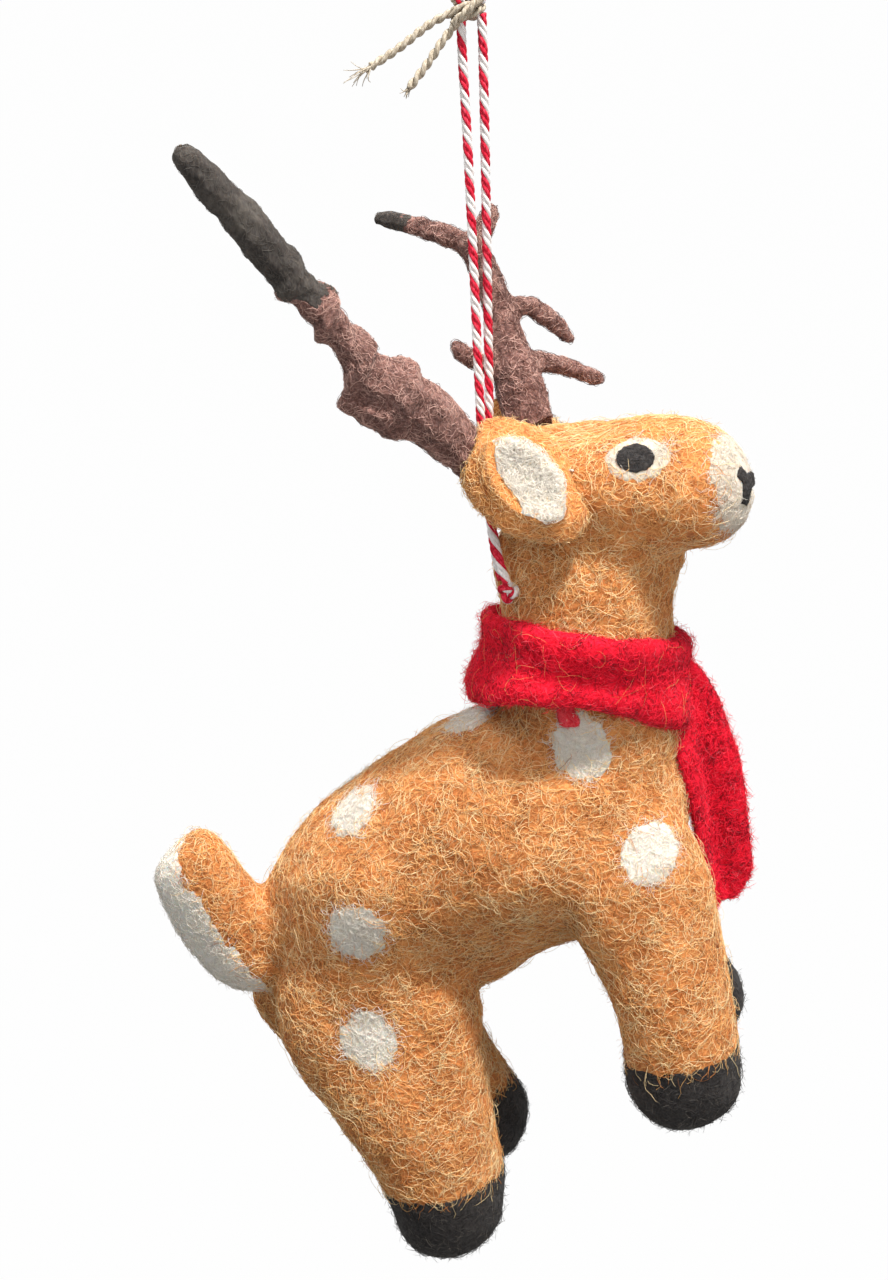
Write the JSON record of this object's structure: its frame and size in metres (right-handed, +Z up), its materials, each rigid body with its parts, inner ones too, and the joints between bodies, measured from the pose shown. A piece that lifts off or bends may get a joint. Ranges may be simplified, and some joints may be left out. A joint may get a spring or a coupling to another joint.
{
  "type": "felt christmas ornament",
  "caption": "Needle-felted reindeer with a felt scarf, wool-wrapped wire antlers and white spots, hanging nose-up from a loop of striped twine with a short string tied round it.",
  "frame": {"origin": "the eye of the twine loop, where a hook or branch bears", "axes": "+Z up as the ornament hangs, +X towards the deer's front, +Y towards its left side"},
  "size_m": [0.0745, 0.0376, 0.1707],
  "materials": {
    "twine": "two-ply cotton twine, one ply red and one white",
    "string": "soft undyed cotton string",
    "coat_wool": "needle-felted wool, fuzzy",
    "white_wool": "needle-felted wool, fuzzy",
    "black_wool": "needle-felted wool, fuzzy",
    "antler_wool": "wool wrapped and felted on wire",
    "antler_tip_wool": "wool wrapped and felted on wire",
    "antler_wire": "plain",
    "scarf_felt": "soft thick felt strip"
  },
  "bodies": {
    "hanging_loop": {"twine_loop": "twine"},
    "string_tie": {"string_knot": "string", "string_tail_long": "string", "string_tail_short": "string"},
    "scarf_end": {"scarf_end": "scarf_felt"},
    "ornament": {"right_twine_strand": "twine", "left_twine_strand": "twine", "nape_knot": "twine", "torso": "coat_wool", "neck": "coat_wool", "head": "coat_wool", "right_rear_leg": "coat_wool", "left_rear_leg": "coat_wool", "right_front_leg": "coat_wool", "left_front_leg": "coat_wool", "tail_top": "coat_wool", "right_ear": "coat_wool", "left_ear": "coat_wool", "muzzle": "white_wool", "tail_underside": "white_wool", "right_eye_patch": "white_wool", "left_eye_patch": "white_wool", "right_ear_lining": "white_wool", "left_ear_lining": "white_wool", "right_shoulder_spot": "white_wool", "left_shoulder_spot": "white_wool", "right_chest_spot": "white_wool", "left_chest_spot": "white_wool", "right_back_spot": "white_wool", "left_back_spot": "white_wool", "right_flank_spot": "white_wool", "left_flank_spot": "white_wool", "right_thigh_spot": "white_wool", "left_thigh_spot": "white_wool", "withers_spot": "white_wool", "right_rear_hoof": "black_wool", "left_rear_hoof": "black_wool", "right_front_hoof": "black_wool", "left_front_hoof": "black_wool", "right_pupil": "black_wool", "left_pupil": "black_wool", "nose": "black_wool", "right_antler_beam": "antler_wool", "right_antler_lobe": "antler_wool", "left_antler_beam": "antler_wool", "left_antler_top_tine": "antler_wool", "left_antler_front_tine": "antler_wool", "left_antler_brow_tine": "antler_wool", "left_antler_inner_tine": "antler_wool", "left_antler_back_tine": "antler_wool", "right_antler_tip": "antler_tip_wool", "left_antler_back_tip": "antler_tip_wool", "right_antler_wire": "antler_wire", "left_antler_wire": "antler_wire", "scarf_wrap": "scarf_felt", "scarf_tucked_corner": "scarf_felt"}
  },
  "joints": [
    {"name": "ornament_swing", "type": "hinge", "parent": "hanging_loop", "child": "string_tie", "pos_m": [0, 0, -0.019], "axis": [0, 1, 0], "range_deg": [-35, 35]},
    {"name": "ornament_turn", "type": "hinge", "parent": "string_tie", "child": "ornament", "pos_m": [0, 0, -0.019], "axis": [0, 0, 1], "range_deg": [-180, 180]},
    {"name": "scarf_end_lift", "type": "hinge", "parent": "ornament", "child": "scarf_end", "pos_m": [0.0242, 0.0006, -0.0962], "axis": [0, -1, 0], "range_deg": [0, 70]}
  ]
}
